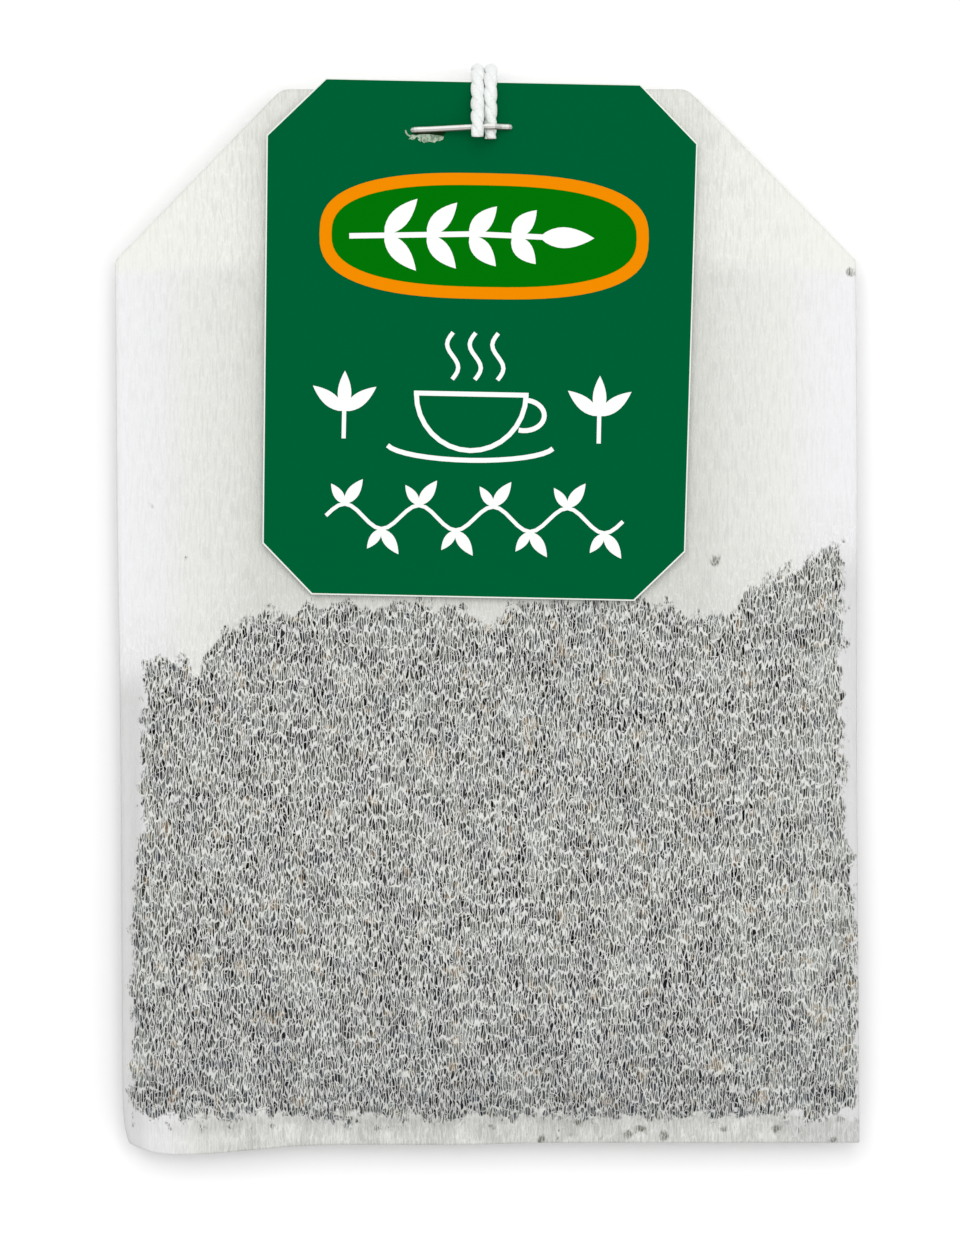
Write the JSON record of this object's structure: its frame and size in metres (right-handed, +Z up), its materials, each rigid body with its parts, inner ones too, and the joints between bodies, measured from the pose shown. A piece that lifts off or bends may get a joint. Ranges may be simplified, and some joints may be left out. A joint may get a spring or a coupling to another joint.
{
  "type": "double-chamber tea bag with thread and tag",
  "caption": "Stapled double-chamber filter paper tea bag with leaf tea, a cotton thread and a green card tag, lying flat.",
  "frame": {"origin": "centre of the bounding box of the bag, tag and staples, on the surface that the bag lies on", "axes": "+Z up from the surface to the tag side; +Y from the bag's foot to its stapled head; +X to the right as the tag faces the viewer"},
  "size_m": [0.046, 0.0671, 0.0057],
  "materials": {
    "filter_paper": "matte, thin fibrous filter paper",
    "leaf_tea": "loose dry leaf",
    "tag_card": "satin coated card, printed green",
    "staple_wire": "drawn bright wire",
    "cotton_thread": "white twisted cotton"
  },
  "bodies": {
    "root": {"filter_bag": "filter_paper", "front_tea": "leaf_tea", "back_tea": "leaf_tea", "tag": "tag_card", "tag_staple": "staple_wire", "bag_staple": "staple_wire", "thread_tag_end": "cotton_thread", "thread_bag_end": "cotton_thread", "thread_hank": "cotton_thread"}
  },
  "joints": []
}
